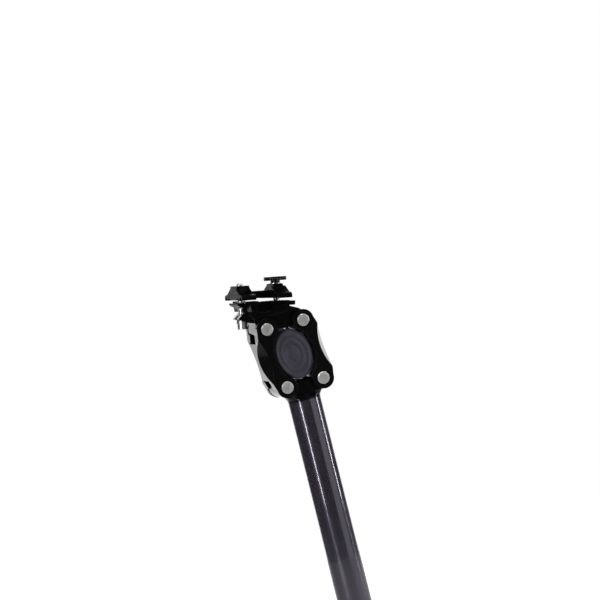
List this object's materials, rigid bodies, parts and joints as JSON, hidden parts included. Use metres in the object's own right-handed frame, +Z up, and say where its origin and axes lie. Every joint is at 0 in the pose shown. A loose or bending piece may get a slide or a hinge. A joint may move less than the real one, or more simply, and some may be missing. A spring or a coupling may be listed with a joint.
{
  "type": "suspension seatpost",
  "caption": "Bicycle suspension seatpost: a round tube with a parallel linkage head, an oval elastomer spring and a two-bolt clamp for saddle rails.",
  "frame": {"origin": "centre of the tube's lower end", "axes": "+Z up along the tube, +X forward to the saddle's nose, +Y to the rider's left"},
  "size_m": [0.0643, 0.0532, 0.3668],
  "materials": {
    "anodised_tube": "satin anodised",
    "black_head": "gloss anodised black",
    "black_link": "gloss anodised black",
    "black_clamp": "satin anodised black",
    "bright_steel": "polished stainless",
    "black_steel": "black oxide",
    "elastomer": "moulded matt",
    "bush_polymer": "moulded",
    "bush_seal": "moulded"
  },
  "bodies": {
    "post": {"seatpost_tube": "anodised_tube", "lower_head": "black_head", "lower_rear_bushes": "bush_polymer", "lower_front_bushes": "bush_polymer"},
    "rear_link": {"rear_link": "black_link", "lower_rear_axle": "bright_steel", "lower_rear_bolts": "bright_steel", "lower_rear_seals": "bush_seal", "upper_rear_axle": "bright_steel", "upper_rear_bolts": "bright_steel", "upper_rear_seals": "bush_seal"},
    "front_link": {"front_link": "black_link", "lower_front_axle": "bright_steel", "lower_front_bolts": "bright_steel", "lower_front_seals": "bush_seal", "upper_front_axle": "bright_steel", "upper_front_bolts": "bright_steel", "upper_front_seals": "bush_seal"},
    "elastomer": {"elastomer": "elastomer"},
    "upper_head": {"upper_head": "black_head", "upper_rear_bushes": "bush_polymer", "upper_front_bushes": "bush_polymer"},
    "cradle": {"lower_cradle": "black_clamp", "tilt_stud": "bright_steel", "stud_anchor": "bright_steel", "rear_bolt_washer": "bright_steel"},
    "rear_bolt": {"rear_clamp_bolt": "bright_steel"},
    "top_clamp": {"upper_clamp": "black_clamp", "rear_barrel_nut": "black_steel", "wheel_washer": "bright_steel"},
    "tilt_wheel": {"tilt_wheel": "black_steel"}
  },
  "joints": [
    {"name": "rear_link_pivot", "type": "hinge", "parent": "post", "child": "rear_link", "pos_m": [-0.01525, 0, 0.2785], "axis": [0, -1, 0], "range_deg": [0, 38], "stiffness_Nm_per_rad": 90, "deforming": ["elastomer"]},
    {"name": "front_link_pivot", "type": "hinge", "parent": "post", "child": "front_link", "pos_m": [0.01525, 0, 0.2785], "axis": [0, -1, 0], "range_deg": [0, 38]},
    {"name": "head_pivot", "type": "hinge", "parent": "rear_link", "child": "upper_head", "pos_m": [-0.02, 0, 0.32697], "axis": [0, -1, 0], "range_deg": [-38, 0]},
    {"name": "elastomer_carry", "type": "hinge", "parent": "post", "child": "elastomer", "pos_m": [0.01014, 0, 0.25636], "axis": [0, -1, 0], "range_deg": [0, 19]},
    {"name": "saddle_tilt", "type": "hinge", "parent": "upper_head", "child": "cradle", "pos_m": [-0.01236, 0, 0.37556], "axis": [0, 1, 0], "range_deg": [-3, 5]},
    {"name": "rear_bolt_turn", "type": "hinge", "parent": "cradle", "child": "rear_bolt", "pos_m": [-0.03116, 0, 0.35261], "axis": [0.1822, 0, 0.9833], "continuous": true},
    {"name": "clamp_lift", "type": "slide", "parent": "cradle", "child": "top_clamp", "axis": [0.1822, 0, 0.9833], "range_m": [0, 0.004]},
    {"name": "tilt_wheel_spin", "type": "hinge", "parent": "top_clamp", "child": "tilt_wheel", "pos_m": [0.00062, 0, 0.36329], "axis": [0.1822, 0, 0.9833], "continuous": true}
  ],
  "couplings": [
    {"joint": "front_link_pivot", "follows": "rear_link_pivot", "ratio": 1},
    {"joint": "head_pivot", "follows": "rear_link_pivot", "ratio": -1},
    {"joint": "elastomer_carry", "follows": "rear_link_pivot", "ratio": 0.5}
  ]
}
